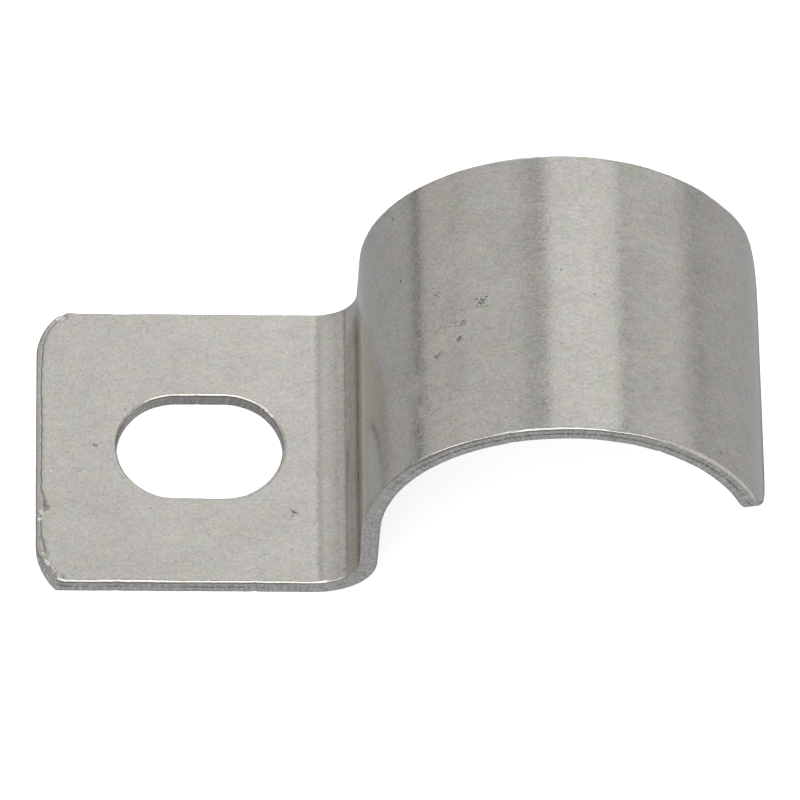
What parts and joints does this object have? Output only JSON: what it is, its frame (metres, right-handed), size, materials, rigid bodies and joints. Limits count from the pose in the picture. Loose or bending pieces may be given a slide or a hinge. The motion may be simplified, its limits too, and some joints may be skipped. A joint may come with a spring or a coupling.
{
  "type": "screw-on cable clip",
  "caption": "One-piece folded sheet clip: a slotted flat tab, a short upright web and a round saddle, open on one side, that holds a cable or conduit against a surface.",
  "frame": {"origin": "centre of the fixing slot on the tab's underside, which lies on the mounting surface", "axes": "+X from the tab's free edge towards the saddle, along the slot; Y along the cable; +Z away from the mounting surface"},
  "size_m": [0.0407, 0.0176, 0.018],
  "materials": {
    "stainless_sheet": "tumbled cold-rolled stainless sheet, dull satin, with fine grain, small pits and sheared edges"
  },
  "bodies": {
    "root": {"saddle_clip": "stainless_sheet"}
  },
  "joints": []
}
